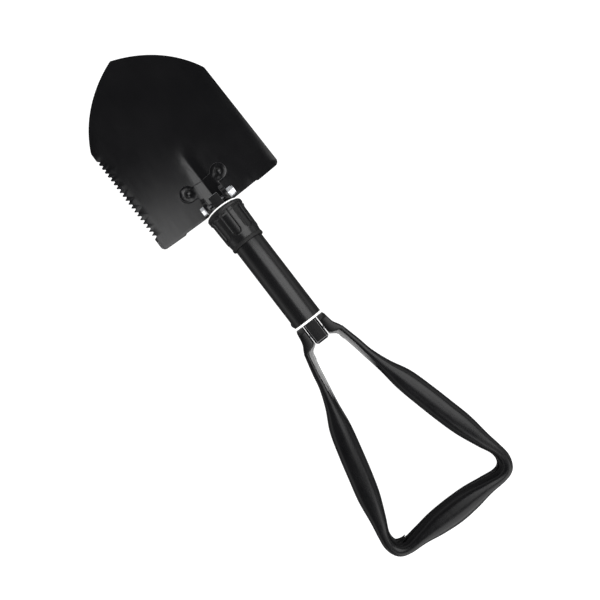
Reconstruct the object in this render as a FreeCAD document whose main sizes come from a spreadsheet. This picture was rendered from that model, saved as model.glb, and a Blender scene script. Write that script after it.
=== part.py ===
import FreeCAD, Part
import math
import os
import Sketcher

# Folding camp shovel, millimetres.  X is across the tool, Y runs along the tube towards
# the blade's tip, Z is up out of the blade's working face.  The tool lies on its back:
# the origin is under the middle of its length, at the level of the blade's lowest line.

os.makedirs("parts", exist_ok=True)
doc = FreeCAD.newDocument("CampShovel")
sheet = doc.addObject("Spreadsheet::Sheet", "Sizes")

SIZES = {
    # places along and above the tool
    "axis_height": 34.2,
    "bolt_y": 103.4,
    "handle_pin_y": -60.8,
    # blade
    "blade_width": 152.0,
    "shoulder_width": 149.0,
    "blade_base_y": 103.6,
    "blade_tab_drop": 1.3,
    "blade_tab_x": 48.0,
    "shoulder_y": 228.5,
    "tip_y": 297.9,
    "nose_arc_radius": 130.0,
    "shoulder_radius": 9.0,
    "base_corner_radius": 4.5,
    "blade_thickness": 2.0,
    "blade_dish_radius": 365.0,
    "blade_face_depth": 29.0,
    "tooth_count": 20.0,
    "tooth_pitch": 5.1,
    "tooth_depth": 3.4,
    "tooth_start_y": 117.5,
    # pressed groove of the blade, which stands out as a rib on its back
    "groove_depth": 3.2,
    "groove_half_width": 12.0,
    "groove_end_y": 183.0,
    # bracket between blade and hinge bolt
    "bracket_thickness": 2.5,
    "lobe_x": 20.0,
    "lobe_y": 135.4,
    "lobe_radius": 9.0,
    "saddle_front_y": 138.9,
    "ear_inner_x": 9.4,
    "ear_outer_x": 14.1,
    "ear_radius": 8.0,
    "rivet_radius": 2.4,
    "rivet_head_radius": 3.9,
    # hinge bolt
    "bolt_radius": 2.5,
    "bolt_running_gap": 0.05,
    "bolt_head_flats": 8.0,
    "bolt_head_height": 3.6,
    "washer_radius": 5.0,
    "washer_thickness": 0.8,
    "nut_flats": 9.4,
    "nut_height": 4.8,
    "nut_crown_height": 1.8,
    "insert_wall": 1.2,
    # tongue, strap and lug: the rigid core inside the tube
    "tongue_half_width": 5.4,
    "tongue_half_height": 9.0,
    "tongue_nose": 6.1,
    "tongue_rear_y": 52.0,
    "strap_width": 16.0,
    "strap_thickness": 4.0,
    "lug_width": 15.6,
    "lug_height": 18.0,
    "lug_front_y": -22.0,
    "lug_rear_y": -70.7,
    "lug_chamfer": 2.0,
    "strap_rivet_radius": 2.0,
    "strap_rivet_pitch": 10.0,
    # tube
    "tube_radius": 15.7,
    "tube_bore": 14.2,
    "tube_front_y": 83.5,
    "tube_rear_y": -45.0,
    "thread_radius": 16.5,
    "thread_pitch": 4.0,
    "thread_rear_y": 63.0,
    # white rings
    "ring_radius": 18.0,
    "ring_bore": 12.7,
    "ring_front_y": 94.4,
    "ring_flange": 1.4,
    "ring_spigot_radius": 16.4,
    "bush_flange": 2.0,
    "bush_rivet_radius": 1.6,
    "bush_rivet_offset": 4.2,
    # collar
    "collar_front_y": 92.8,
    "collar_rear_y": 53.0,
    "collar_front_radius": 20.3,
    "collar_body_radius": 18.9,
    "collar_rear_radius": 17.4,
    "collar_bore": 16.6,
    "flute_count": 8.0,
    "seal_overhang": 1.6,
    # handle
    "handle_pin_radius": 2.1,
    "handle_ear_radius": 13.3,
    "handle_ear_inner_x": 8.6,
    "handle_half_depth": 10.8,
    "handle_wall": 2.3,
}
for row, (alias, value) in enumerate(SIZES.items(), start=1):
    sheet.set(f"A{row}", alias.replace("_", " "))
    sheet.set(f"B{row}", str(value))
    sheet.setAlias(f"B{row}", alias)
doc.recompute()


class Size:
    """A number together with the spreadsheet expression that gives it."""

    def __init__(self, value, text):
        self.value = value
        self.text = text

    def join(self, other, sign, result):
        text = other.text if isinstance(other, Size) else repr(float(other))
        return Size(result, f"({self.text} {sign} {text})")

    def __add__(self, other):
        return self.join(other, "+", self.value + plain(other))

    def __sub__(self, other):
        return self.join(other, "-", self.value - plain(other))

    def __mul__(self, other):
        return self.join(other, "*", self.value * plain(other))

    def __truediv__(self, other):
        return self.join(other, "/", self.value / plain(other))

    def __neg__(self):
        return Size(-self.value, f"(-1 * {self.text})")


def plain(size):
    return size.value if isinstance(size, Size) else float(size)


class Sizes:
    """Each alias of the sheet as a Size."""

    def __getattr__(self, alias):
        return Size(float(sheet.get(alias)), f"Sizes.{alias}")


S = Sizes()
ALONG_X = FreeCAD.Rotation(FreeCAD.Vector(0, 1, 0), 90)
ALONG_Y = FreeCAD.Rotation(FreeCAD.Vector(1, 0, 0), -90)
UPRIGHT = FreeCAD.Rotation()
SEAT_GAP = 0.02
PIN_HEAD_X = 16.2
PIN_HEAD_RADIUS = 3.4
PIN_HEAD_HEIGHT = 1.2
ARM_CLEAR_OF_TUBE = 16.4
FLUTE_CUTTER_RADIUS = 10.3
FLUTE_CUTTER_OFFSET = 9.2
FLUTE_SETBACK = 10.2
FLUTE_LENGTH = 20
BLANK_HEIGHT = 40
SHEET_HALF_WIDTH = 80
SHEET_WIDTH_STEP = 4
SHEET_REAR = 88
SHEET_LENGTH = 216
SHEET_LENGTH_STEP = 6
TIP_RADIUS = 2.0
HANDLE_WEB_THICKNESS = 2.0
EAR_ROOT = -34.0
EAR_FOOT_TOP = -18.6
HANDLE_HOLLOW_FLOOR = 2.5


def bind(item, field, size):
    """Give a property its size, through an expression where it comes from the sheet."""
    if isinstance(size, Size):
        item.setExpression(field, size.text)
    elif "." in field:
        corner, part, axis = field.split(".")
        place = item.Placement
        base = place.Base
        setattr(base, axis, float(size))
        place.Base = base
        item.Placement = place
    else:
        setattr(item, field, float(size))


def put(item, place, turn=UPRIGHT):
    """Place an object; heights are measured from the tube's axis."""
    item.Placement = FreeCAD.Placement(FreeCAD.Vector(), turn)
    for axis, size in zip("xy", place):
        bind(item, f"Placement.Base.{axis}", size)
    bind(item, "Placement.Base.z", S.axis_height + place[2])


def rod(name, radius, length, place, turn=ALONG_Y):
    item = doc.addObject("Part::Cylinder", name)
    bind(item, "Radius", radius)
    bind(item, "Height", length)
    put(item, place, turn)
    return item


def block(name, low, high):
    item = doc.addObject("Part::Box", name)
    for field, first, last in zip(("Length", "Width", "Height"), low, high):
        span = (last if isinstance(last, Size) else Size(last, repr(float(last)))) - first
        bind(item, field, span)
    put(item, low)
    return item


def cut(name, base, tool):
    item = doc.addObject("Part::Cut", name)
    item.Base = base
    item.Tool = tool
    return item


def fuse(name, *pieces):
    item = doc.addObject("Part::MultiFuse", name)
    item.Shapes = list(pieces)
    return item


def common(name, *pieces):
    item = doc.addObject("Part::MultiCommon", name)
    item.Shapes = list(pieces)
    return item


def group(name, *pieces):
    """Separate identical solids that share one node."""
    item = doc.addObject("Part::Compound", name)
    item.Links = list(pieces)
    return item


def chamfer(name, base, size, wanted):
    """Chamfer the edges of a base whose end points satisfy a test."""
    doc.recompute()
    item = doc.addObject("Part::Chamfer", name)
    item.Base = base
    chosen = []
    for number, edge in enumerate(base.Shape.Edges, start=1):
        if wanted(edge):
            chosen.append((number, plain(size), plain(size)))
    item.Edges = chosen
    return item


def plane_of(body, role):
    return next(item for item in body.Origin.OriginFeatures if item.Role == role)


def sketch_of(body, name, role="XY_Plane"):
    sketch = body.newObject("Sketcher::SketchObject", name)
    sketch.AttachmentSupport = (plane_of(body, role), [""])
    sketch.MapMode = "FlatFace"
    return sketch


def bulged(start, end, radius):
    """Arc from start to end, bulging to the right of the way it runs."""
    chord = end - start
    sagitta = radius - math.sqrt(radius ** 2 - chord.Length ** 2 / 4)
    outward = FreeCAD.Vector(chord.y, -chord.x, 0).normalize()
    return Part.Arc(start, (start + end) / 2 + outward * sagitta, end)


def outline(sketch, corners, arcs={}):
    """A closed run of lines, and arcs of given radius, with corners pinned to sizes."""
    points = [FreeCAD.Vector(plain(across), plain(along), 0) for across, along in corners]
    for number, start in enumerate(points):
        end = points[(number + 1) % len(points)]
        if number in arcs:
            sketch.addGeometry(bulged(start, end, plain(arcs[number])), False)
            rule = sketch.addConstraint(
                Sketcher.Constraint("Radius", number, plain(arcs[number])))
            sketch.setExpression(f"Constraints[{rule}]", arcs[number].text)
        else:
            sketch.addGeometry(Part.LineSegment(start, end), False)
    for number, corner in enumerate(corners):
        following = (number + 1) % len(corners)
        sketch.addConstraint(Sketcher.Constraint("Coincident", number, 2, following, 1))
        for kind, size in zip(("DistanceX", "DistanceY"), corner):
            rule = sketch.addConstraint(
                Sketcher.Constraint(kind, -1, 1, number, 1, plain(size)))
            if isinstance(size, Size):
                sketch.setExpression(f"Constraints[{rule}]", size.text)


def revolved(name, profile):
    """A ring turned about the tube's axis from a profile of (radius, y) corners."""
    body = doc.addObject("PartDesign::Body", name)
    sketch = sketch_of(body, name + "_profile")
    outline(sketch, profile)
    turn = body.newObject("PartDesign::Revolution", name + "_turn")
    turn.Profile = sketch
    turn.ReferenceAxis = (sketch, ["V_Axis"])
    turn.Angle = 360
    put(body, (0, 0, 0))
    return body


def hexagon(name, flats, length, place):
    """A hexagonal bar along X, between its flats."""
    item = doc.addObject("Part::Prism", name)
    item.Polygon = 6
    bind(item, "Circumradius", flats / math.sqrt(3))
    bind(item, "Height", length)
    put(item, place, ALONG_X)
    return item


# ---------------------------------------------------------------- rigid core in the tube

def make_blade_tongue():
    """Square-ended bar that the blade swings on, across the hinge bolt."""
    body = block("tongue_bar", (-S.tongue_half_width, S.tongue_rear_y, -S.tongue_half_height),
                 (S.tongue_half_width, S.bolt_y + S.tongue_nose, S.tongue_half_height))
    hole = rod("tongue_bolt_hole", S.bolt_radius + S.bolt_running_gap, 40,
               (-20, S.bolt_y, 0), ALONG_X)
    slot = block("tongue_strap_slot", (-S.strap_thickness / 2, S.tongue_rear_y - 1, -20),
                 (S.strap_thickness / 2, S.tongue_rear_y + 22, 20))
    tools = fuse("tongue_cuts", hole, slot, *strap_rivet_holes("tongue", S.tongue_rear_y + 6))
    cut("blade_tongue", body, tools)


def strap_rivet_holes(side, first_y):
    return [rod(f"{side}_rivet_hole_{number}", S.strap_rivet_radius, 40,
                (-20, first_y + S.strap_rivet_pitch * number, 0), ALONG_X) for number in range(2)]


def make_handle_lug():
    """Chamfered block that the handle's ears straddle."""
    half = S.lug_width / 2
    bar = block("lug_bar", (-half, S.lug_rear_y, -(S.lug_height / 2)),
                (half, S.lug_front_y, S.lug_height / 2))

    def outer_long_edge(edge):
        box = edge.BoundBox
        at_rear = abs(box.YMax - plain(S.lug_rear_y)) < 0.1
        along = box.YLength > 1
        return at_rear or along

    shaped = chamfer("lug_chamfered", bar, S.lug_chamfer, outer_long_edge)
    pin_hole = rod("lug_pin_hole", S.handle_pin_radius + S.bolt_running_gap, 40,
                   (-20, S.handle_pin_y, 0), ALONG_X)
    slot = block("lug_strap_slot", (-S.strap_thickness / 2, S.lug_front_y - 22, -20),
                 (S.strap_thickness / 2, S.lug_front_y + 1, 20))
    holes = strap_rivet_holes("lug", S.lug_front_y - 16)
    cut("handle_lug", shaped, fuse("lug_cuts", pin_hole, slot, *holes))


def make_strap():
    """Flat steel strap that ties the tongue to the lug through the tube."""
    half = S.strap_thickness / 2
    bar = block("strap_bar", (-half, S.lug_front_y - 21.5, -(S.strap_width / 2)),
                (half, S.tongue_rear_y + 21.5, S.strap_width / 2))
    front = strap_rivet_holes("strap_front", S.tongue_rear_y + 6)
    rear = strap_rivet_holes("strap_rear", S.lug_front_y - 16)
    cut("tension_strap", bar, fuse("strap_holes", *front, *rear))


def make_strap_rivets(name, half_length, first_y):
    pins = [rod(f"{name}_{number}", S.strap_rivet_radius, half_length * 2,
                (-half_length, first_y + S.strap_rivet_pitch * number, 0), ALONG_X)
            for number in range(2)]
    group(name, *pins)


# ---------------------------------------------------------------- tube and its fittings

def bush_rivet_rod(name, start_x, length):
    return rod(name, S.bush_rivet_radius, length,
               (start_x, S.tube_rear_y + S.bush_rivet_offset, 0), ALONG_X)


def make_tube():
    """Steel tube with a small hole for the rivet of the rear bush."""
    shell = rod("tube_outer", S.tube_radius, S.tube_front_y - S.tube_rear_y,
                (0, S.tube_rear_y, 0))
    bore = rod("tube_inner", S.tube_bore, S.tube_front_y - S.tube_rear_y + 2,
               (0, S.tube_rear_y - 1, 0))
    rivet_hole = bush_rivet_rod("tube_rivet_hole", -20, 20)
    cut("shaft_tube", shell, fuse("tube_cuts", bore, rivet_hole))


def make_threaded_sleeve():
    """Coarse thread on the tube's front end, as rings of one pitch each."""
    crest = S.thread_radius
    root = S.thread_radius - 0.5
    profile = [(S.tube_radius, S.tube_front_y), (S.tube_radius, S.thread_rear_y)]
    turns = int((plain(S.tube_front_y) - plain(S.thread_rear_y)) / plain(S.thread_pitch))
    for turn in range(turns):
        start = S.thread_rear_y + S.thread_pitch * turn
        profile.append((crest, start))
        profile.append((crest, start + 1.8))
        profile.append((root, start + 2.4))
        profile.append((root, start + 3.4))
    profile.append((root, S.tube_front_y))
    revolved("threaded_sleeve", profile)


def make_tube_guide():
    """Nylon disc that keeps the strap in the middle of the tube."""
    disc = rod("guide_disc", S.tube_bore, 8, (0, 8, 0))
    slot = block("guide_slot", (-(S.strap_thickness / 2) - 0.3, 7, -(S.strap_width / 2) - 0.3),
                 (S.strap_thickness / 2 + 0.3, 17, S.strap_width / 2 + 0.3))
    cut("tube_guide", disc, slot)


def make_end_bushing():
    """White nylon bush in the tube's rear end; its flange meets the handle's ears."""
    flange = rod("bush_flange_disc", S.tube_radius + 0.1, S.bush_flange,
                 (0, S.tube_rear_y - S.bush_flange, 0))
    spigot = rod("bush_spigot", S.tube_bore, 10, (0, S.tube_rear_y - 0.5, 0))
    window = block("bush_window", (-(S.lug_width / 2) - 0.3, -60, -(S.lug_height / 2) - 0.3),
                   (S.lug_width / 2 + 0.3, -20, S.lug_height / 2 + 0.3))
    hole = bush_rivet_rod("bush_rivet_hole", -20, 20)
    tools = fuse("bush_cuts", window, hole)
    cut("end_bushing", fuse("bush_blank", flange, spigot), tools)


def make_bushing_rivet():
    """Low round rivet that stakes the rear bush to the tube."""
    shank = bush_rivet_rod("bush_rivet_shank", -15.9, 5.6)
    dome = doc.addObject("Part::Sphere", "bush_rivet_dome")
    dome.Radius = 4.6
    put(dome, (-12.3, S.tube_rear_y + S.bush_rivet_offset, 0))
    outside = cut("bush_rivet_head", dome, rod("tube_clearance", S.tube_radius, 30,
                                               (0, S.tube_rear_y - 11, 0)))
    left = block("bush_rivet_left", (-20, -60, -10), (-12, -30, 10))
    fuse("bushing_rivet", common("bush_rivet_cap", outside, left), shank)


def make_thrust_ring():
    """White nylon ring in the collar's mouth, which bears on the blade's bracket."""
    back = S.ring_front_y - S.ring_flange
    spigot_end = back - 2.2
    revolved("thrust_ring", [
        (S.ring_bore, spigot_end), (S.ring_bore, S.ring_front_y - 0.5),
        (S.ring_bore + 0.5, S.ring_front_y), (S.ring_radius - 0.5, S.ring_front_y),
        (S.ring_radius, S.ring_front_y - 0.5), (S.ring_radius, back),
        (S.ring_spigot_radius, back), (S.ring_spigot_radius, spigot_end)])


def make_collar():
    """Screw collar with a wide front band, long flutes and a plain rear."""
    mouth = S.ring_spigot_radius + 0.05
    lip = S.tube_radius + 0.25
    body = doc.addObject("PartDesign::Body", "locking_collar")
    sketch = sketch_of(body, "collar_profile")
    outline(sketch, [
        (mouth, S.collar_front_y), (mouth, S.collar_front_y - 3),
        (S.collar_bore, S.collar_front_y - 3.2), (S.collar_bore, S.collar_rear_y + 8),
        (lip, S.collar_rear_y + 7.5), (lip, S.collar_rear_y + 2),
        (S.collar_rear_radius, S.collar_rear_y + 2),
        (S.collar_rear_radius + 0.25, S.collar_rear_y + 6),
        (S.collar_body_radius - 0.3, S.collar_rear_y + 8),
        (S.collar_body_radius, S.collar_front_y - 10.5),
        (S.collar_front_radius, S.collar_front_y - 8.5),
        (S.collar_front_radius, S.collar_front_y - 4.5),
        (S.collar_front_radius - 2.2, S.collar_front_y)])
    turn = body.newObject("PartDesign::Revolution", "collar_turned")
    turn.Profile = sketch
    turn.ReferenceAxis = (sketch, ["V_Axis"])
    turn.Angle = 360
    flute = sketch_of(body, "flute_outline", "XZ_Plane")
    centre = FreeCAD.Vector(0, plain(S.collar_body_radius) + FLUTE_CUTTER_OFFSET, 0)
    flute.addGeometry(
        Part.Circle(centre, FreeCAD.Vector(0, 0, 1), FLUTE_CUTTER_RADIUS), False)
    flute.addConstraint(Sketcher.Constraint("Radius", 0, FLUTE_CUTTER_RADIUS))
    flute.addConstraint(Sketcher.Constraint("DistanceX", -1, 1, 0, 3, 0.0))
    height = flute.addConstraint(Sketcher.Constraint("DistanceY", -1, 1, 0, 3, centre.y))
    flute.setExpression(f"Constraints[{height}]", (S.collar_body_radius + FLUTE_CUTTER_OFFSET).text)
    flute.AttachmentOffset = FreeCAD.Placement(
        FreeCAD.Vector(0, 0, FLUTE_SETBACK - plain(S.collar_front_y)), FreeCAD.Rotation())
    pocket = body.newObject("PartDesign::Pocket", "flute_pocket")
    pocket.Profile = flute
    pocket.Length = FLUTE_LENGTH
    pocket.Reversed = True
    pattern = body.newObject("PartDesign::PolarPattern", "flute_pattern")
    pattern.Originals = [pocket]
    pattern.Axis = (sketch, ["V_Axis"])
    pattern.Angle = 360
    pattern.setExpression("Occurrences", S.flute_count.text)
    body.Tip = pattern
    put(body, (0, 0, 0))
    doc.recompute()


def make_collar_seal():
    """Black rubber wiper that wraps the collar's rear rim."""
    front = S.collar_rear_y + 2
    rear = S.collar_rear_y - S.seal_overhang
    bore = S.tube_radius + 0.08
    rim = S.collar_rear_radius
    revolved("collar_seal", [
        (bore, front), (bore, rear + 0.4), (bore + 0.4, rear), (rim, rear),
        (rim + 0.5, rear + 0.6), (rim + 0.5, front - 0.6), (rim + 0.1, front)])


# ---------------------------------------------------------------- blade and its bracket

def face_height(x, y):
    """Height of the blade's working face: a shallow dish with a tapering groove."""
    dish = x * x / (2 * plain(S.blade_dish_radius)) - plain(S.blade_face_depth)
    base = plain(S.blade_base_y)
    progress = (y - base) / (plain(S.groove_end_y) - base)
    progress = min(1.0, max(0.0, progress))
    sink = plain(S.groove_depth) * (1 - progress ** 2) ** 1.5
    half = plain(S.groove_half_width) * (1 - 0.35 * progress)
    share = math.cos(math.pi / 2 * min(1.0, abs(x) / half)) ** 2
    return dish - sink * share


def pressed_sheet(name, lift, thickness):
    """Sheet that follows the blade's face at a given lift, with a vertical thickness."""
    across = range(-SHEET_HALF_WIDTH, SHEET_HALF_WIDTH + 1, SHEET_WIDTH_STEP)
    along = range(SHEET_REAR, SHEET_REAR + SHEET_LENGTH + 1, SHEET_LENGTH_STEP)
    height = plain(S.axis_height) + lift
    grid = [[FreeCAD.Vector(x, y, height + face_height(x, y)) for y in along] for x in across]
    surface = Part.BSplineSurface()
    surface.interpolate(grid)
    solid = surface.toShape().extrude(FreeCAD.Vector(0, 0, thickness))
    item = doc.addObject("Part::Feature", name)
    item.Shape = solid
    item.Placement = FreeCAD.Placement()
    return item


def make_blade_outline():
    """Pad of the blade's outline: straight sides and two nose arcs meeting at the tip."""
    half = S.blade_width / 2
    shoulder = S.shoulder_width / 2
    base = S.blade_base_y
    tab = S.blade_base_y - S.blade_tab_drop
    step = S.blade_tab_x
    body = doc.addObject("PartDesign::Body", "blade_outline")
    sketch = sketch_of(body, "blade_sketch")
    outline(sketch, [
        (-half, tab), (-step, tab), (-step + 2, base), (step - 2, base), (step, tab),
        (half, tab), (shoulder, S.shoulder_y), (0, S.tip_y), (-shoulder, S.shoulder_y)],
        {6: S.nose_arc_radius, 7: S.nose_arc_radius})
    pad = body.newObject("PartDesign::Pad", "blade_pad")
    pad.Profile = sketch
    pad.Length = BLANK_HEIGHT
    doc.recompute()
    put(body, (0, 0, -BLANK_HEIGHT))
    doc.recompute()
    rounded = doc.addObject("Part::Fillet", "blade_rounded")
    rounded.Base = body
    edges = []
    for number, edge in enumerate(body.Shape.Edges, start=1):
        box = edge.BoundBox
        if box.ZLength < 30:
            continue
        radius = None
        if box.YMin > plain(S.tip_y) - 2:
            radius = TIP_RADIUS
        elif box.YMin > plain(S.shoulder_y) - 2:
            radius = plain(S.shoulder_radius)
        elif abs(box.XMin) > plain(half) - 1:
            radius = plain(S.base_corner_radius)
        if radius:
            edges.append((number, radius, radius))
    rounded.Edges = edges
    return rounded


def make_teeth_cut():
    """Row of hooked gullets along the left side, one pocket and its pattern."""
    body = doc.addObject("PartDesign::Body", "teeth_cut")
    sketch = sketch_of(body, "gullet_outline")
    edge = -(S.blade_width / 2)
    start = S.tooth_start_y
    outline(sketch, [
        (edge - 2, start - 0.2), (edge + 0.3, start - 0.2),
        (edge + S.tooth_depth, start + 1.2), (edge + S.tooth_depth + 0.25, start + 2.3),
        (edge + S.tooth_depth - 0.5, start + 3.3), (edge + 0.3, start + S.tooth_pitch - 0.3),
        (edge - 2, start + S.tooth_pitch - 0.3)])
    pad = body.newObject("PartDesign::Pad", "gullet_pad")
    pad.Profile = sketch
    pad.Length = 60
    pad.Midplane = True
    pattern = body.newObject("PartDesign::LinearPattern", "gullet_row")
    pattern.Originals = [pad]
    pattern.Direction = (sketch, ["V_Axis"])
    pattern.setExpression("Length", (S.tooth_pitch * (S.tooth_count - 1)).text)
    pattern.setExpression("Occurrences", S.tooth_count.text)
    body.Tip = pattern
    put(body, (0, 0, -26.0))
    return body


def make_blade():
    plate = cut("blade_toothed", make_blade_outline(), make_teeth_cut())
    pressing = pressed_sheet("blade_pressing", 0, -plain(S.blade_thickness))
    cut("blade", common("blade_blank", plate, pressing), lobe_rivet_holes("blade"))


def lobe_rivet_holes(side):
    return fuse(f"{side}_rivet_holes", *[
        rod(f"{side}_rivet_hole_{name}", S.rivet_radius, 60, (x, S.lobe_y, -40), UPRIGHT)
        for name, x in (("left", -S.lobe_x), ("right", S.lobe_x))])


def make_bracket():
    """Saddle in the groove, a riveted lobe on each side and two upright hinge ears."""
    wall = S.bracket_thickness
    saddle = pressed_sheet("bracket_saddle", SEAT_GAP, plain(wall))
    ears = []
    for side, name in ((-1, "left"), (1, "right")):
        low = S.ear_inner_x if side > 0 else -S.ear_outer_x
        high = S.ear_outer_x if side > 0 else -S.ear_inner_x
        ears.append(rod(f"ear_{name}", S.ear_radius, S.ear_outer_x - S.ear_inner_x,
                        (low, S.bolt_y, 0), ALONG_X))
        ears.append(block(f"ear_leg_{name}", (low, S.bolt_y - S.ear_radius + 0.5, EAR_ROOT),
                          (high, S.bolt_y + S.ear_radius - 0.3, 0)))
        ears.append(block(f"ear_foot_{name}", (low, S.bolt_y - 7, EAR_ROOT),
                          (high, S.bolt_y + 17, EAR_FOOT_TOP)))
    under = pressed_sheet("under_bracket", SEAT_GAP, -20)
    legs = cut("bracket_legs", fuse("bracket_ears", *ears), under)
    solid = fuse("bracket_blank", saddle, legs)
    lobes = [rod(f"lobe_{name}", S.lobe_radius, 60, (x, S.lobe_y, -40), UPRIGHT)
             for name, x in (("left", -S.lobe_x), ("right", S.lobe_x))]
    spine = block("bracket_middle", (-S.ear_outer_x, S.bolt_y - 8.1, -40),
                  (S.ear_outer_x, S.saddle_front_y, 20))
    wings = block("bracket_wings", (-S.lobe_x, S.lobe_y - S.lobe_radius, -40),
                  (S.lobe_x, S.lobe_y + 3, 20))
    area = fuse("bracket_area", spine, wings, *lobes)
    kept = common("bracket_trimmed", solid, area)
    bolt_hole = rod("bracket_bolt_hole", S.bolt_radius + 0.02, 60, (-30, S.bolt_y, 0), ALONG_X)
    throat = block("bracket_throat", (-S.ear_inner_x, 80, -21.4),
                   (S.ear_inner_x, S.saddle_front_y + 5, 20))
    holes = lobe_rivet_holes("bracket")
    cut("blade_bracket", kept, fuse("bracket_cuts", bolt_hole, throat, holes))


def make_bracket_rivets():
    """Domed rivets through the bracket's lobes and the blade."""
    lobe_top = SEAT_GAP + plain(S.bracket_thickness)
    under = pressed_sheet("under_rivet_heads", lobe_top, -20)
    rivets = []
    for name, x in (("left", -S.lobe_x), ("right", S.lobe_x)):
        shank = rod(f"rivet_shank_{name}", S.rivet_radius, 6.0, (x, S.lobe_y, -30.9), UPRIGHT)
        dome = doc.addObject("Part::Sphere", f"rivet_dome_{name}")
        bind(dome, "Radius", S.rivet_head_radius + 0.9)
        put(dome, (x, S.lobe_y, -28.6))
        head = cut(f"rivet_head_{name}", dome, under)
        rivets.append(fuse(f"rivet_{name}", shank, head))
    group("bracket_rivets", *rivets)


def make_hinge_bolt():
    """Hexagon bolt across the ears; its head is on the left, its end flush with the nut."""
    seat = S.ear_outer_x + S.washer_thickness
    reach = seat + S.nut_height + S.nut_crown_height
    shank = rod("bolt_shank", S.bolt_radius, reach + seat + 1, (-seat - 1, S.bolt_y, 0), ALONG_X)
    head = hexagon("bolt_head", S.bolt_head_flats, S.bolt_head_height,
                   (-seat - S.bolt_head_height, S.bolt_y, 0))
    fuse("hinge_bolt", shank, head)


def make_hinge_washers():
    """One flat washer under the bolt's head and one under the nut."""
    washers = []
    for name, x in (("left", -S.ear_outer_x - S.washer_thickness), ("right", S.ear_outer_x)):
        disc = rod(f"washer_disc_{name}", S.washer_radius, S.washer_thickness,
                   (x, S.bolt_y, 0), ALONG_X)
        hole = rod(f"washer_hole_{name}", S.bolt_radius, 3, (x - 1, S.bolt_y, 0), ALONG_X)
        washers.append(cut(f"washer_{name}", disc, hole))
    group("hinge_washers", *washers)


def make_hinge_nut():
    """Lock nut: a hexagon with a round crown that holds its nylon insert."""
    start = S.ear_outer_x + S.washer_thickness
    top = start + S.nut_height
    body = hexagon("nut_hexagon", S.nut_flats, S.nut_height, (start, S.bolt_y, 0))
    crown = rod("nut_crown", S.nut_flats / 2 - 0.3, S.nut_crown_height,
                (top, S.bolt_y, 0), ALONG_X)
    bore = rod("nut_bore", S.bolt_radius, 20, (start - 1, S.bolt_y, 0), ALONG_X)
    pocket = rod("nut_pocket", S.bolt_radius + S.insert_wall, 10, (top, S.bolt_y, 0), ALONG_X)
    cut("hinge_nut", fuse("nut_blank", body, crown), fuse("nut_cuts", bore, pocket))


def make_nut_insert():
    """Pale nylon ring that grips the bolt's thread."""
    start = S.ear_outer_x + S.washer_thickness + S.nut_height
    ring = rod("insert_disc", S.bolt_radius + S.insert_wall, S.nut_crown_height - 0.3,
               (start, S.bolt_y, 0), ALONG_X)
    hole = rod("insert_hole", S.bolt_radius, 5, (start - 1, S.bolt_y, 0), ALONG_X)
    cut("nut_insert", ring, hole)


# ---------------------------------------------------------------- handle

# One half of the grip's path from the right ear, round the corner, to the middle of
# the bar: x, y, width, flange closing in degrees, squareness of the section, and how
# much further in the lower flange reaches than the upper one.
HANDLE_STATIONS = [
    (21.3, -71.5, 6.0, 112, 3.2, 4.0),
    (25.6, -91.5, 7.4, 112, 3.2, 3.6),
    (28.9, -108.5, 8.4, 122, 3.0, 3.2),
    (34.0, -129.0, 13.5, 146, 2.6, 1.8),
    (40.2, -151.0, 22.4, 168, 2.3, 0.2),
    (46.8, -176.0, 24.4, 176, 2.3, 0.0),
    (53.2, -201.0, 24.5, 176, 2.3, 0.0),
    (59.2, -223.0, 23.2, 176, 2.3, 0.0),
    (65.2, -245.0, 17.0, 174, 2.4, 0.0),
    (69.9, -260.0, 12.7, 172, 2.5, 0.0),
    (71.3, -272.0, 12.6, 172, 2.5, 0.0),
    (67.2, -281.2, 12.6, 172, 2.5, 0.0),
    (57.5, -285.0, 12.0, 172, 2.5, 0.0),
    (40.5, -284.6, 15.8, 174, 2.4, 0.0),
    (22.0, -284.8, 22.4, 176, 2.3, 0.0),
    (0.0, -285.4, 25.2, 176, 2.3, 0.0),
]
SECTIONS_PER_STATION = 3
SKIN_STEPS = 16


def station(number):
    """A station by number; past the bar's middle the other half mirrors this one."""
    last = len(HANDLE_STATIONS) - 1
    if number > last:
        x, *rest = HANDLE_STATIONS[2 * last - number]
        return (-x, *rest)
    if number < 0:
        first, second = HANDLE_STATIONS[0], HANDLE_STATIONS[1]
        return tuple(2 * a - b for a, b in zip(first, second))
    return HANDLE_STATIONS[number]


def blended(position):
    """Smooth value and slope of every station column at a position along the path."""
    number = min(int(position), len(HANDLE_STATIONS) - 2)
    share = position - number
    values = []
    slopes = []
    for before, start, end, after in zip(*(station(number + k) for k in (-1, 0, 1, 2))):
        bend = 2 * before - 5 * start + 4 * end - after
        twist = 3 * (start - end) + after - before
        values.append(start + 0.5 * share * (end - before + share * (bend + share * twist)))
        slopes.append(0.5 * (end - before) + share * bend + 1.5 * share ** 2 * twist)
    return values, slopes


def section_skin(values, slopes, inset):
    """Points round one skin of the open C section, from the upper lip to the lower."""
    x, y, width, closing, square, extra = values
    outward = FreeCAD.Vector(-slopes[1], slopes[0], 0).normalize()
    depth = plain(S.handle_half_depth)
    lip = abs(math.cos(math.radians(closing)))
    points = []
    for step in range(SKIN_STEPS + 1):
        angle = math.radians(closing * (1 - 2 * step / SKIN_STEPS))
        cosine = math.cos(angle)
        sine = math.sin(angle)
        across = math.copysign(abs(cosine) ** (2 / square), cosine) * (width / 2 - inset)
        up = math.copysign(abs(sine) ** (2 / square), sine) * (depth - inset)
        if sine < 0 and cosine < 0:
            across -= extra * min(1.0, -cosine / lip)
        place = FreeCAD.Vector(x, y, plain(S.axis_height) + up)
        points.append(place + outward * across)
    return points


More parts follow.
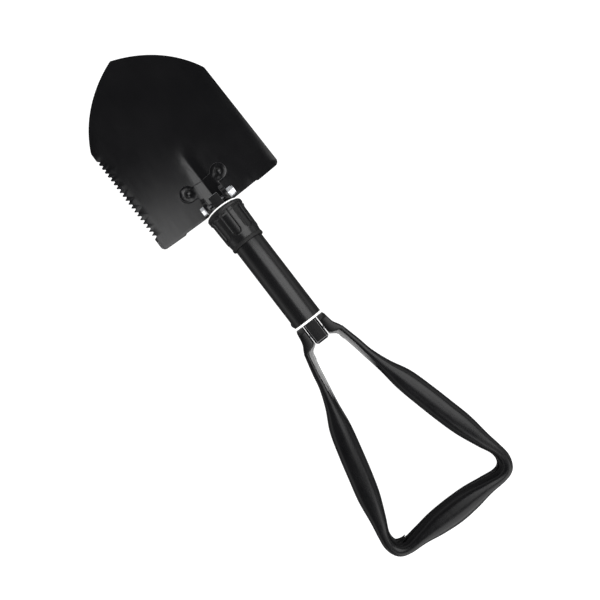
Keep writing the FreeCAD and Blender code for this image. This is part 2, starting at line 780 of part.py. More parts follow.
def section_wire(position):
    """Closed outline of the C section: outer skin, two lips and inner skin."""
    values, slopes = blended(position)
    outer = section_skin(values, slopes, 0.0)
    inner = section_skin(values, slopes, plain(S.handle_wall))
    curve = Part.BSplineCurve()
    curve.interpolate(outer)
    back = Part.BSplineCurve()
    back.interpolate(list(reversed(inner)))
    return Part.Wire([curve.toShape(), Part.makeLine(outer[-1], inner[-1]),
                      back.toShape(), Part.makeLine(inner[0], outer[0])])


def side_plate(points, low, height):
    """Upright prism on a polygon of (x, y) corners, from a level below the tube's axis."""
    corners = [FreeCAD.Vector(x, y, plain(S.axis_height) - low) for x, y in points]
    profile = Part.Face(Part.makePolygon(corners + corners[:1]))
    return profile.extrude(FreeCAD.Vector(0, 0, height))


def across_pin(radius, start_x, length):
    """Cylinder on the handle pin's axis."""
    start = FreeCAD.Vector(start_x, plain(S.handle_pin_y), plain(S.axis_height))
    return Part.makeCylinder(radius, length, start, FreeCAD.Vector(1, 0, 0))


def handle_ear():
    """Cheek beside the lug, round about the pin and widening into the grip."""
    inner = plain(S.handle_ear_inner_x)
    depth = plain(S.handle_half_depth)
    rear_length = 30
    cheek = side_plate([
        (inner, -47.5), (15.8, -47.5), (17.0, -50.0), (18.0, -57.0), (19.0, -61.0),
        (21.5, -66.0), (24.6, -71.2), (25.4, -76.0), (19.6, -76.0), (19.2, -71.2),
        (12.0, -69.6), (inner, -66.5)], depth, 2 * depth)
    corner = FreeCAD.Vector(ARM_CLEAR_OF_TUBE, plain(S.handle_pin_y) - rear_length,
                            plain(S.axis_height) - depth)
    behind = Part.makeBox(40, rear_length, 2 * depth, corner)
    round_part = across_pin(plain(S.handle_ear_radius), 0, 40)
    return cheek.common(round_part.fuse(behind))


def handle_web():
    """Thin plate that carries the lower flange round the inside of the cheek."""
    inner = plain(S.handle_ear_inner_x)
    return side_plate([
        (inner, -62.0), (inner, -70.0), (14.2, -74.5), (16.4, -77.6), (20.0, -80.0),
        (23.0, -76.0), (20.5, -65.0), (16.0, -62.0)],
        plain(S.handle_half_depth), HANDLE_WEB_THICKNESS)


def handle_cuts():
    """Hollow where the cheek meets the grip, the pin's hole and the seat of its head."""
    floor = plain(S.handle_half_depth) - HANDLE_HOLLOW_FLOOR
    corner = FreeCAD.Vector(18.6, -78.0, plain(S.axis_height) - floor)
    hollow = Part.makeBox(4.6, 6.4, 2 * floor, corner)
    hole = across_pin(plain(S.handle_pin_radius), -30, 60)
    seat = across_pin(PIN_HEAD_RADIUS + 0.1, PIN_HEAD_X, 20)
    return hollow.fuse(hole).fuse(seat)


def make_handle_frame():
    """Rolled triangular handle, open on its inner side, with two ears at the pin."""
    count = (len(HANDLE_STATIONS) - 1) * SECTIONS_PER_STATION
    wires = [section_wire(number / SECTIONS_PER_STATION) for number in range(count + 1)]
    grip = Part.makeLoft(wires, True, True)
    right = grip.fuse(handle_ear()).fuse(handle_web()).cut(handle_cuts()).removeSplitter()
    left = right.mirror(FreeCAD.Vector(), FreeCAD.Vector(1, 0, 0))
    whole = right.fuse(left).removeSplitter()
    if len(whole.Solids) != 1:
        raise RuntimeError("the handle is not one solid")
    item = doc.addObject("Part::Feature", "handle_frame")
    item.Shape = whole.Solids[0]
    item.Placement = FreeCAD.Placement()


def make_handle_pin():
    """Plain pin through both ears and the lug, with a low peened head at each end."""
    shank = rod("pin_shank", S.handle_pin_radius, 2 * PIN_HEAD_X + 1,
                (-PIN_HEAD_X - 0.5, S.handle_pin_y, 0), ALONG_X)
    heads = [rod(f"pin_head_{name}", PIN_HEAD_RADIUS, PIN_HEAD_HEIGHT,
                 (x, S.handle_pin_y, 0), ALONG_X)
             for name, x in (("left", -PIN_HEAD_X - PIN_HEAD_HEIGHT), ("right", PIN_HEAD_X))]
    fuse("handle_pin", shank, *heads)


make_blade_tongue()
make_handle_lug()
make_strap()
make_strap_rivets("tongue_rivets", S.tongue_half_width, S.tongue_rear_y + 6)
make_strap_rivets("lug_rivets", S.lug_width / 2, S.lug_front_y - 16)
make_tube()
make_threaded_sleeve()
make_tube_guide()
make_end_bushing()
make_bushing_rivet()
make_thrust_ring()
make_collar()
make_collar_seal()
make_blade()
make_bracket()
make_bracket_rivets()
make_hinge_bolt()
make_hinge_washers()
make_hinge_nut()
make_nut_insert()
make_handle_frame()
make_handle_pin()
doc.recompute()

NODES = [
    "blade_tongue", "handle_lug", "tension_strap", "tongue_rivets", "lug_rivets",
    "shaft_tube", "threaded_sleeve", "tube_guide", "end_bushing", "bushing_rivet",
    "thrust_ring", "locking_collar", "collar_seal",
    "blade", "blade_bracket", "bracket_rivets", "hinge_bolt", "hinge_washers",
    "hinge_nut", "nut_insert", "handle_frame", "handle_pin",
]

for item in doc.Objects:
    if "Invalid" in item.State or "Error" in item.State:
        raise RuntimeError(f"{item.Name} did not compute: {item.State}")
for node in NODES:
    item = doc.getObject(node)
    item.Label = node
    shape = item.Shape
    if shape.isNull() or not shape.isValid():
        raise RuntimeError(f"{node} has no valid shape")
for node in NODES:
    doc.getObject(node).Shape.exportStep(f"parts/{node}.step")
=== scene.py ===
import math

import bmesh
import bpy
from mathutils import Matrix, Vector


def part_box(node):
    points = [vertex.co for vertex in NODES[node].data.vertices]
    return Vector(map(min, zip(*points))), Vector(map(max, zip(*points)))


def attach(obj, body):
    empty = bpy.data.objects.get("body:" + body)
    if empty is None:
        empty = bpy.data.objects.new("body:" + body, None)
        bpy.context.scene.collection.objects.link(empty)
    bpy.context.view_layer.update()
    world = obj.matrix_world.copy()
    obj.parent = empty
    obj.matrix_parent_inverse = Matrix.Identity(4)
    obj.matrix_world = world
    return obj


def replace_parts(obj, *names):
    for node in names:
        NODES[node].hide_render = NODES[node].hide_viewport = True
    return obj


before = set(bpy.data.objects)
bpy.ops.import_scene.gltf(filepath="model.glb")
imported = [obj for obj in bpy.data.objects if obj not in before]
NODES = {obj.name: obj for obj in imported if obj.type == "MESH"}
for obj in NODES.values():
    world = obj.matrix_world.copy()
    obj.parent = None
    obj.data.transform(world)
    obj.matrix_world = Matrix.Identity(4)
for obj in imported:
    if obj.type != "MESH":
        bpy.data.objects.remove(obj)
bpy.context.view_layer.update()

MM = 0.001


def middle(node):
    """Centre of a CAD node's box."""
    low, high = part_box(node)
    return (low + high) / 2


AXIS_Z = middle("shaft_tube").z
PIN_Y = middle("handle_pin").y
BLADE_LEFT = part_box("blade")[0].x
# Half length of the hinge bolt's middle, painted dark as shade, which ends inside the outer
# washer.
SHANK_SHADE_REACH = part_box("hinge_washers")[1].x - 1.2 * MM


# ------------------------------------------------------------------ camera, light, floor

CAMERA_OVER_AXIS = 500 * MM
CAMERA_X = 5.9 * MM
CAMERA_Y = -24.9 * MM
CAMERA_ROLL = -37.5
CAMERA_LENS = 30.0
# Grey of the surroundings, from straight down (0) through the horizon (0.5) to straight up.
WORLD_BANDS = ((0.30, 0.12), (0.46, 0.45), (0.50, 0.75), (0.60, 0.60), (0.72, 0.10))
WORLD_BELOW = (0.08, 0.08, 0.08, 1)
WORLD_ABOVE = (0.035, 0.035, 0.04, 1)
# Softboxes, in metres: name, place, direction that the back faces, width and length,
# radiance, and whether the box shows in reflections.
SOFTBOXES = [
    ("softbox_over_near", (0.08, -0.06, 1.34), (0, 0, 1), (0.16, 1.25), 1.5, True),
    ("softbox_over", (0.31, -0.06, 1.34), (0, 0, 1), (0.30, 1.25), 2.9, True),
    ("softbox_right", (1.20, -0.06, 1.30), (0.15, 0, 1), (1.48, 1.35), 2.7, True),
    ("softbox_rear", (0.1, -1.5, 0.85), (0.0, -0.87, 0.5), (1.8, 1.5), 1.9, True),
    ("softbox_fill", (-0.9, 0.0, 1.2), (-0.6, 0, 0.8), (1.5, 1.8), 1.6, False),
]
FLOOR_HALF = 6.0
FLOOR_DROP = 0.3 * MM


def make_camera():
    """Camera that looks straight down on the tool, turned to the photo's slant."""
    data = bpy.data.cameras.new("camera")
    data.lens = CAMERA_LENS
    data.sensor_width = 36.0
    data.clip_start = 0.01
    data.clip_end = 50.0
    camera = bpy.data.objects.new("camera", data)
    camera.location = (CAMERA_X, CAMERA_Y, AXIS_Z + CAMERA_OVER_AXIS)
    camera.rotation_euler = (0, 0, math.radians(CAMERA_ROLL))
    bpy.context.scene.collection.objects.link(camera)
    bpy.context.scene.camera = camera


def make_softbox(name, place, back, size, radiance, in_reflections):
    """Rectangular light at a place, with its back to a direction."""
    data = bpy.data.lights.new(name, "AREA")
    data.shape = "RECTANGLE"
    data.size, data.size_y = size
    data.energy = radiance * math.pi * size[0] * size[1]
    lamp = bpy.data.objects.new(name, data)
    lamp.location = place
    lamp.rotation_euler = Vector(back).to_track_quat("Z", "Y").to_euler()
    lamp.visible_glossy = in_reflections
    bpy.context.scene.collection.objects.link(lamp)


def make_world():
    """Pale band round the horizon under a dark ceiling."""
    world = bpy.data.worlds.new("studio")
    world.use_nodes = True
    bpy.context.scene.world = world
    nodes = world.node_tree.nodes
    links = world.node_tree.links
    nodes.clear()
    place = nodes.new("ShaderNodeTexCoord")
    split = nodes.new("ShaderNodeSeparateXYZ")
    level = nodes.new("ShaderNodeMapRange")
    ramp = nodes.new("ShaderNodeValToRGB")
    background = nodes.new("ShaderNodeBackground")
    output = nodes.new("ShaderNodeOutputWorld")
    links.new(place.outputs["Generated"], split.inputs[0])
    links.new(split.outputs["Z"], level.inputs["Value"])
    level.inputs["From Min"].default_value = -1.0
    level.inputs["From Max"].default_value = 1.0
    links.new(level.outputs[0], ramp.inputs[0])
    links.new(ramp.outputs[0], background.inputs["Color"])
    links.new(background.outputs[0], output.inputs["Surface"])
    below, above = ramp.color_ramp.elements
    below.position = 0.0
    below.color = WORLD_BELOW
    above.position = 1.0
    above.color = WORLD_ABOVE
    for position, grey in WORLD_BANDS:
        band = ramp.color_ramp.elements.new(position)
        band.color = (grey, grey, grey, 1)


def make_floor():
    """White floor that glows evenly and stays out of reflections."""
    mesh = bpy.data.meshes.new("floor")
    signs = ((-1, -1), (1, -1), (1, 1), (-1, 1))
    mesh.from_pydata([(x * FLOOR_HALF, y * FLOOR_HALF, 0) for x, y in signs],
                     [], [(0, 1, 2, 3)])
    floor = bpy.data.objects.new("floor", mesh)
    floor.location.z = -FLOOR_DROP
    bpy.context.scene.collection.objects.link(floor)
    paint = bpy.data.materials.new("floor_white")
    paint.use_nodes = True
    shader = paint.node_tree.nodes["Principled BSDF"]
    shader.inputs["Base Color"].default_value = (0.25, 0.25, 0.25, 1)
    shader.inputs["Roughness"].default_value = 0.9
    shader.inputs["Specular IOR Level"].default_value = 0.0
    shader.inputs["Emission Color"].default_value = (1, 1, 1, 1)
    shader.inputs["Emission Strength"].default_value = 0.95
    mesh.materials.append(paint)
    floor.visible_glossy = False


# ------------------------------------------------------------------ materials

class Paint:
    """A material under construction: its nodes, links and shader."""

    def __init__(self, name):
        """New material; its textures follow the object's own coordinates."""
        self.material = bpy.data.materials.new(name)
        self.material.use_nodes = True
        self.tree = self.material.node_tree
        self.shader = self.tree.nodes["Principled BSDF"]
        self.place = self.add("ShaderNodeTexCoord").outputs["Object"]

    def add(self, kind, **settings):
        """New shader node with its settings."""
        node = self.tree.nodes.new(kind)
        for field, value in settings.items():
            setattr(node, field, value)
        return node

    def join(self, output, socket):
        """Link an output to an input."""
        self.tree.links.new(output, socket)

    def set(self, **values):
        """Set inputs of the shader, with underscores for the spaces in their names."""
        for name, value in values.items():
            self.shader.inputs[name.replace("_", " ")].default_value = value

    def noise(self, scale, detail=4.0, roughness=0.55, stretch=None):
        """Noise texture from 0 to 1; stretch scales it apart along X, Y and Z."""
        texture = self.add("ShaderNodeTexNoise")
        texture.inputs["Scale"].default_value = scale
        texture.inputs["Detail"].default_value = detail
        texture.inputs["Roughness"].default_value = roughness
        place = self.place
        if stretch:
            mapping = self.add("ShaderNodeMapping")
            mapping.inputs["Scale"].default_value = stretch
            self.join(place, mapping.inputs["Vector"])
            place = mapping.outputs[0]
        self.join(place, texture.inputs["Vector"])
        return texture.outputs["Fac"]

    def spread(self, value, low, high, start=0.3, end=0.7):
        """Map a texture's value onto a range."""
        node = self.add("ShaderNodeMapRange")
        node.inputs["From Min"].default_value = start
        node.inputs["From Max"].default_value = end
        node.inputs["To Min"].default_value = low
        node.inputs["To Max"].default_value = high
        self.join(value, node.inputs["Value"])
        return node.outputs[0]

    def shade(self, value, dark, light):
        """Colour between two colours by a value from 0 to 1."""
        node = self.add("ShaderNodeMix", data_type="RGBA")
        node.inputs["A"].default_value = (*dark, 1)
        node.inputs["B"].default_value = (*light, 1)
        self.join(value, node.inputs["Factor"])
        return node.outputs["Result"]

    def split(self, vector):
        """X, Y and Z outputs of a vector."""
        node = self.add("ShaderNodeSeparateXYZ")
        self.join(vector, node.inputs[0])
        return node.outputs

    def product(self, first, second):
        """Two values multiplied."""
        node = self.add("ShaderNodeMath", operation="MULTIPLY")
        self.join(first, node.inputs[0])
        self.join(second, node.inputs[1])
        return node.outputs[0]

    def cover(self, colour, mask):
        """Lay another colour over the coat where a mask is 1."""
        base = self.shader.inputs["Base Color"]
        coat = base.links[0].from_socket
        mix = self.add("ShaderNodeMix", data_type="RGBA")
        self.join(coat, mix.inputs["A"])
        mix.inputs["B"].default_value = (*colour, 1)
        self.join(mask, mix.inputs["Factor"])
        self.join(mix.outputs["Result"], base)

    def bump(self, height, distance, before=None):
        """Raise the surface by a texture's height; returns the bent normal."""
        node = self.add("ShaderNodeBump")
        node.inputs["Strength"].default_value = 1.0
        node.inputs["Distance"].default_value = distance
        self.join(height, node.inputs["Height"])
        if before:
            self.join(before, node.inputs["Normal"])
        self.join(node.outputs[0], self.shader.inputs["Normal"])
        return node.outputs[0]


def black_coat(name, dark, light, rough, peel_size, peel_depth, dust=0.0):
    """Black paint or powder coat: orange peel, uneven gloss, fine scuffs and dust."""
    paint = Paint(name)
    patches = paint.noise(22.0, 5.0)
    colour = paint.shade(paint.spread(patches, 0, 1), dark, light)
    paint.join(colour, paint.shader.inputs["Base Color"])
    scuffs = paint.noise(160.0, 6.0, 0.7, stretch=(1.0, 0.18, 1.0))
    gloss = paint.spread(scuffs, rough[0], rough[1])
    paint.join(gloss, paint.shader.inputs["Roughness"])
    peel = paint.noise(1.0 / peel_size, 2.0, 0.4)
    normal = paint.bump(peel, peel_depth)
    if dust:
        grains = paint.noise(2600.0, 2.0, 0.5)
        paint.bump(paint.spread(grains, 0, 1, 0.62, 0.75), dust, normal)
    return paint


# How far in from the blade's left side the points of the teeth are worn bare.
TOOTH_WEAR = 2.2 * MM


def make_blade_paint():
    """Semi-gloss enamel, worn to bare steel on the points of the teeth."""
    paint = black_coat("blade_enamel", (0.0035, 0.0035, 0.004), (0.006, 0.006, 0.0065),
                       (0.17, 0.24), 1.6 * MM, 0.002 * MM, 0.0006 * MM)
    x = paint.split(paint.place)["X"]
    points = paint.spread(x, 1, 0, BLADE_LEFT, BLADE_LEFT + TOOTH_WEAR)
    specks = paint.spread(paint.noise(900.0, 4.0, 0.6), 0, 1, 0.50, 0.62)
    paint.cover((0.22, 0.22, 0.23), paint.product(points, specks))
    return paint.material


def make_coat(name, rough, peel_depth, light, shine=0.5):
    """Even black coat without wear."""
    paint = black_coat(name, (0.004, 0.004, 0.0045), (light, light, light * 1.05), rough,
                       1.3 * MM, peel_depth, 0.004 * MM)
    paint.set(Specular_IOR_Level=shine)
    return paint.material


def make_painted_edge_highlight(name, dark, light):
    """Grey painted highlight for the rounded outside edges of a part."""
    return black_coat(name, (dark, dark, dark * 1.03), (light, light, light * 1.03),
                      (0.22, 0.32), 1.3 * MM, 0.002 * MM).material


def make_handle_coat_with_painted_reflection():
    """Satin coat; pale grey painted reflection on the up-facing inner lower flange near the
    ears.
    """
    paint = black_coat("handle_coat", (0.003, 0.003, 0.0035), (0.007, 0.007, 0.0075),
                       (0.20, 0.30), 1.3 * MM, 0.003 * MM, 0.001 * MM)
    paint.set(Specular_IOR_Level=0.33)
    place = paint.split(paint.place)
    facing = paint.split(paint.place.node.outputs["Normal"])
    upward = paint.spread(facing["Z"], 0, 1, 0.3, 0.7)
    low = paint.spread(place["Z"], 1, 0, AXIS_Z - 8.0 * MM, AXIS_Z - 6.0 * MM)
    near = paint.spread(place["Y"], 0, 1, PIN_Y - 100 * MM, PIN_Y - 70 * MM)
    # Painted reflection: pale grey on the up-facing inner face of the lower flange near the
    # ears.
    paint.cover((0.4, 0.4, 0.4), paint.product(paint.product(upward, low), near))
    return paint.material


def make_nylon(name, colour, second, rough, grain_depth, scatter=0.0, glow=0.0):
    """Moulded nylon with a fine spark-eroded grain and faint flow marks, and a painted glow if
    given.
    """
    paint = Paint(name)
    flow = paint.noise(35.0, 3.0, 0.5, stretch=(1.0, 0.3, 1.0))
    paint.join(paint.shade(paint.spread(flow, 0, 1), colour, second),
               paint.shader.inputs["Base Color"])
    paint.join(paint.spread(paint.noise(300.0), rough[0], rough[1]),
               paint.shader.inputs["Roughness"])
    grain = paint.noise(2200.0, 3.0, 0.6)
    paint.bump(grain, grain_depth)
    if scatter:
        paint.set(Subsurface_Weight=scatter, Subsurface_Radius=(0.0012, 0.0012, 0.0011))
        paint.shader.inputs["Subsurface Scale"].default_value = 1.0
    # Painted glow: emission that makes the part shine like a lamp.
    if glow:
        paint.set(Emission_Color=(1, 1, 0.98, 1), Emission_Strength=glow)
    return paint.material


def make_zinc(name, shade_reach=0.0):
    """Bright zinc plating, spangled and scratched, painted dark as shade near the middle plane.
    """
    paint = Paint(name)
    spangle = paint.noise(420.0, 4.0, 0.6)
    bright = paint.shade(paint.spread(spangle, 0, 1), (0.80, 0.82, 0.85), (0.97, 0.98, 1.0))
    side = paint.add("ShaderNodeMath", operation="ABSOLUTE")
    paint.join(paint.split(paint.place)["X"], side.inputs[0])
    mix = paint.add("ShaderNodeMix", data_type="RGBA")
    # Painted shade: dark grey on the bolt's middle, between the ears and the tongue.
    mix.inputs["A"].default_value = (0.10, 0.10, 0.105, 1)
    paint.join(bright, mix.inputs["B"])
    paint.join(paint.spread(side.outputs[0], 0, 1, shade_reach, shade_reach + 0.5 * MM),
               mix.inputs["Factor"])
    paint.join(mix.outputs["Result"], paint.shader.inputs["Base Color"])
    paint.set(Metallic=1.0)
    paint.join(paint.spread(paint.noise(900.0, 5.0, 0.7), 0.2, 0.42),
               paint.shader.inputs["Roughness"])
    paint.bump(paint.noise(1500.0, 3.0, 0.6, stretch=(0.2, 1, 1)), 0.006 * MM)
    return paint.material


def make_plain_steel(name):
    """Oiled steel with rolling marks along the tool."""
    paint = Paint(name)
    grain = paint.noise(260.0, 5.0, 0.65, stretch=(1.0, 0.08, 1.0))
    paint.join(paint.shade(paint.spread(grain, 0, 1), (0.20, 0.20, 0.21),
                           (0.42, 0.42, 0.43)), paint.shader.inputs["Base Color"])
    paint.set(Metallic=1.0)
    paint.join(paint.spread(grain, 0.3, 0.5), paint.shader.inputs["Roughness"])
    paint.bump(grain, 0.01 * MM)
    return paint.material


def make_rubber(name):
    """Dull black rubber."""
    paint = Paint(name)
    paint.join(paint.shade(paint.spread(paint.noise(180.0), 0, 1), (0.004, 0.004, 0.004),
                           (0.012, 0.012, 0.012)), paint.shader.inputs["Base Color"])
    paint.join(paint.spread(paint.noise(700.0), 0.55, 0.75), paint.shader.inputs["Roughness"])
    paint.bump(paint.noise(1800.0, 3.0), 0.01 * MM)
    return paint.material


# ------------------------------------------------------------------ mesh helpers

WELD_REACH = 0.002 * MM
# Edges sharper than this, in degrees, are rounded.
BEVEL_ANGLE = 32


def new_piece(name, points, faces, material, body, smooth_angle=35.0):
    """Mesh object that rides on a body."""
    mesh = bpy.data.meshes.new(name)
    mesh.from_pydata(points, [], faces)
    mesh.validate()
    build = bmesh.new()
    build.from_mesh(mesh)
    bmesh.ops.recalc_face_normals(build, faces=build.faces)
    build.to_mesh(mesh)
    build.free()
    piece = bpy.data.objects.new(name, mesh)
    bpy.context.scene.collection.objects.link(piece)
    mesh.materials.append(material)
    finish_piece(piece, smooth_angle)
    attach(piece, body)
    return piece


def finish_piece(piece, smooth_angle):
    """Smooth shading with hard edges past an angle."""
    mesh = piece.data
    mesh.shade_smooth()
    build = bmesh.new()
    build.from_mesh(mesh)
    limit = math.radians(smooth_angle)
    for edge in build.edges:
        if len(edge.link_faces) == 2:
            edge.smooth = edge.calc_face_angle(0.0) < limit
    build.to_mesh(mesh)
    build.free()


def soften(piece, width, segments, highlight_material=None):
    """Weld and round a mesh's sharp edges, painted as highlights if given; width in
    millimetres.
    """
    weld = piece.modifiers.new("weld", "WELD")
    weld.merge_threshold = WELD_REACH
    bevel = piece.modifiers.new("round_edges", "BEVEL")
    bevel.width = width * MM
    bevel.segments = segments
    bevel.limit_method = "ANGLE"
    bevel.angle_limit = math.radians(BEVEL_ANGLE)
    bevel.harden_normals = True
    if highlight_material:
        piece.data.materials.append(highlight_material)
        bevel.material = 1


def grid_faces(rows, columns, close_rows=False):
    """Quads between neighbouring closed rows of points."""
    faces = []
    for row in range(rows if close_rows else rows - 1):
        following = (row + 1) % rows
        for column in range(columns):
            beside = (column + 1) % columns
            faces.append((row * columns + column, row * columns + beside,
                          following * columns + beside, following * columns + column))
    return faces


def tube_faces(rows, columns):
    """Quads between closed rows of points, with a cap at each end."""
    faces = grid_faces(rows, columns)
    faces.append(tuple(range(columns)))
    faces.append(tuple(range((rows - 1) * columns, rows * columns)))
    return faces


# ------------------------------------------------------------------ handle

# Half of the grip's path from the right ear to the middle of the bar, in millimetres:
# x, distance behind the handle pin, width, closing angle, squareness, lower flange's extra.
HANDLE_STATIONS = [
    (21.3, -10.7, 6.0, 112, 3.2, 4.0),
    (25.6, -30.7, 7.4, 112, 3.2, 3.6),
    (28.9, -47.7, 8.4, 122, 3.0, 3.2),
    (34.0, -68.2, 13.5, 146, 2.6, 1.8),
    (40.2, -90.2, 22.4, 168, 2.3, 0.2),
    (46.8, -115.2, 24.4, 176, 2.3, 0.0),
    (53.2, -140.2, 24.5, 176, 2.3, 0.0),
    (59.2, -162.2, 23.2, 176, 2.3, 0.0),
    (65.2, -184.2, 17.0, 174, 2.4, 0.0),
    (69.9, -199.2, 12.7, 172, 2.5, 0.0),
    (71.2, -211.2, 12.5, 172, 2.5, 0.0),
    (67.1, -220.4, 12.5, 172, 2.5, 0.0),
    (57.5, -224.1, 11.9, 172, 2.5, 0.0),
    (40.5, -223.8, 15.8, 174, 2.4, 0.0),
    (22.0, -224.0, 22.4, 176, 2.3, 0.0),
    (0.0, -224.5, 25.1, 176, 2.3, 0.0),
]
HANDLE_DEPTH = 10.8
HANDLE_WALL = 2.3
PATH_STEPS = 8
SKIN_STEPS = 36
LIP_STEPS = 4
# How far a lip's rounded edge stands out, as a share of half the wall.
LIP_BULGE = 0.6


def station(number):
    """Station on the whole path, which carries on past both ends of the table."""
    last = len(HANDLE_STATIONS) - 1
    if number > last:
        x, *rest = HANDLE_STATIONS[2 * last - number]
        return (-x, *rest)
    if number < 0:
        return tuple(2 * a - b for a, b in zip(HANDLE_STATIONS[0], HANDLE_STATIONS[1]))
    return HANDLE_STATIONS[number]


def blended(position):
    """Smooth value and slope of every station column at a position along the path."""
    number = min(int(position), len(HANDLE_STATIONS) - 2)
    share = position - number
    values = []
    slopes = []
    for before, start, end, after in zip(*(station(number + k) for k in (-1, 0, 1, 2))):
        bend = 2 * before - 5 * start + 4 * end - after
        twist = 3 * (start - end) + after - before
        values.append(start + 0.5 * share * (end - before + share * (bend + share * twist)))
        slopes.append(0.5 * (end - before) + share * bend + 1.5 * share ** 2 * twist)
    return values, slopes


def section_point(values, outward, angle, inset):
    """Point on a skin of the open C section at an angle from its outer side."""
    x, y, width, closing, square, extra = values
    cosine = math.cos(angle)
    sine = math.sin(angle)
    across = math.copysign(abs(cosine) ** (2 / square), cosine) * (width / 2 - inset)
    up = math.copysign(abs(sine) ** (2 / square), sine) * (HANDLE_DEPTH - inset)
    if sine < 0 and cosine < 0:
        across -= extra * min(1.0, -cosine / abs(math.cos(math.radians(closing))))
    return Vector((x, y, up)) + outward * across


def section_loop(position):
    """Closed loop round the C section: outer skin, lip, inner skin, lip."""
    values, slopes = blended(position)
    outward = Vector((-slopes[1], slopes[0], 0)).normalized()
    closing = math.radians(values[3])
    outer = []
    inner = []
    for step in range(SKIN_STEPS + 1):
        angle = closing * (1 - 2 * step / SKIN_STEPS)
        outer.append(section_point(values, outward, angle, 0.0))
        inner.append(section_point(values, outward, angle, HANDLE_WALL))
    loop = list(outer)
    loop += lip_points(outer[-2], outer[-1], inner[-1])
    loop += list(reversed(inner))
    loop += lip_points(inner[1], inner[0], outer[0])
    return loop


def lip_points(before, start, end):
    """Rounded edge between the two skins."""
    centre = (start + end) / 2
    radius = (end - start).length / 2
    along = (start - before).normalized()
    side = (start - centre).normalized()
    along = (along - side * along.dot(side)).normalized()
    points = []
    for step in range(1, LIP_STEPS):
        turn = math.pi * step / LIP_STEPS
        points.append(centre + side * radius * math.cos(turn)
                      + along * radius * LIP_BULGE * math.sin(turn))
    return points


def handle_place(point):
    """Place in the scene of a point in millimetres from the handle pin."""
    return Vector((point.x * MM, PIN_Y + point.y * MM, AXIS_Z + point.z * MM))


def make_handle_channel(material):
    """The rolled triangular grip from one ear round to the other."""
    last = len(HANDLE_STATIONS) - 1
    count = last * PATH_STEPS
    half = [section_loop(number / PATH_STEPS) for number in range(count + 1)]
    loops = half + [[Vector((-p.x, p.y, p.z)) for p in loop] for loop in reversed(half[:-1])]
    points = [handle_place(point) for loop in loops for point in loop]
    columns = len(half[0])
    faces = tube_faces(len(loops), columns)
    return new_piece("handle_grip", points, faces, material, "handle", 50)


EAR_RADIUS = 13.3
EAR_INNER = 8.6
EAR_REAR = -13.0
EAR_STEPS = 48
EAR_SQUARENESS = 0.3
# How far the cheek stays inside the CAD ear's outline, and its least half height.
EAR_INSET = 0.02
EAR_LEAST = 0.2
# Distance behind the pin at which the cheek's disc has grown to the handle's full depth.
EAR_FULL = -7.7
# The cheek's inner side leaves the lug at EAR_BEND, curves out and then flares.
EAR_BEND = -5.0
EAR_BEND_LENGTH = 3.2
EAR_BEND_OUT = 2.8
EAR_FLARE_LENGTH = 2.4
EAR_FLARE_OUT = 8.0
# Outer side of the ear: distance from the pin towards the tube, and x.
EAR_OUTLINE = [(13.3, 15.8), (12.2, 16.4), (10.8, 17.0), (7.5, 17.4), (3.8, 18.0),
               (1.8, 18.4), (-0.2, 19.0), (-2.0, 19.7), (-3.8, 20.7), (-5.5, 21.8),
               (-7.2, 22.7), (-9.0, 23.5), (-10.8, 24.1), (-14.0, 24.8)]
# The web's outline: x, and distance from the pin towards the tube.
WEB_OUTLINE = [(8.8, -1.0), (8.8, -9.4), (11.0, -11.0), (14.6, -13.4), (15.9, -15.6),
               (16.5, -19.0), (17.2, -22.5), (20.5, -22.5), (23.2, -16.0), (20.5, -4.0),
               (16.0, -1.0)]
WEB_THICKNESS = 2.0
WEB_INSET = 0.03


def ear_outer(y):
    """Outer side of the ear at a distance from the pin."""
    for (first_y, first_x), (second_y, second_x) in zip(EAR_OUTLINE, EAR_OUTLINE[1:]):
        if y >= second_y:
            share = (first_y - y) / (first_y - second_y)
            share = min(1.0, max(0.0, share))
            return first_x + (second_x - first_x) * share
    return EAR_OUTLINE[-1][1]


def ear_inner(y):
    """Inner side of the ear: straight beside the lug, then out to the flange's edge."""
    past_bend = EAR_BEND - y
    if past_bend < 0:
        return EAR_INNER
    if past_bend < EAR_BEND_LENGTH:
        return EAR_INNER + EAR_BEND_OUT * (past_bend / EAR_BEND_LENGTH) ** 1.5
    flare = min(1.0, (past_bend - EAR_BEND_LENGTH) / EAR_FLARE_LENGTH)
    return EAR_INNER + EAR_BEND_OUT + EAR_FLARE_OUT * flare


def make_handle_ear(name, side, material):
    """Solid cheek round the handle pin that runs out into the grip."""
    front = EAR_RADIUS - 0.05
    slices = [front + (EAR_REAR - front) * step / EAR_STEPS for step in range(EAR_STEPS + 1)]
    loops = []
    for y in slices:
        low = ear_inner(y)
        high = ear_outer(y)
        depth = HANDLE_DEPTH - EAR_INSET
        if y >= EAR_FULL:
            disc = math.sqrt(max(EAR_LEAST ** 2, EAR_RADIUS ** 2 - y * y))
            depth = min(HANDLE_DEPTH, disc) - EAR_INSET
        centre = (low + high) / 2
        loop = []
        for step in range(EAR_STEPS):
            turn = 2 * math.pi * step / EAR_STEPS
            cosine = math.cos(turn)
            sine = math.sin(turn)
            across = math.copysign(abs(cosine) ** EAR_SQUARENESS, cosine) * (high - low) / 2
            up = math.copysign(abs(sine) ** EAR_SQUARENESS, sine) * depth
            loop.append(Vector(((centre + across) * side, y, up)))
        loops.append(loop)
    points = [handle_place(point) for loop in loops for point in loop]
    faces = tube_faces(len(loops), EAR_STEPS)
    return new_piece(name, points, faces, material, "handle", 40)


def make_handle_web(name, side, material):
    """Thin plate that carries the lower flange round the inside of the cheek."""
    low = -HANDLE_DEPTH + WEB_INSET
    levels = (low, low + WEB_THICKNESS)
    points = [handle_place(Vector((x * side, y, level))) for level in levels
              for x, y in WEB_OUTLINE]
    faces = tube_faces(2, len(WEB_OUTLINE))
    web = new_piece(name, points, faces, material, "handle", 30)
    soften(web, 0.25, 2)
    return web


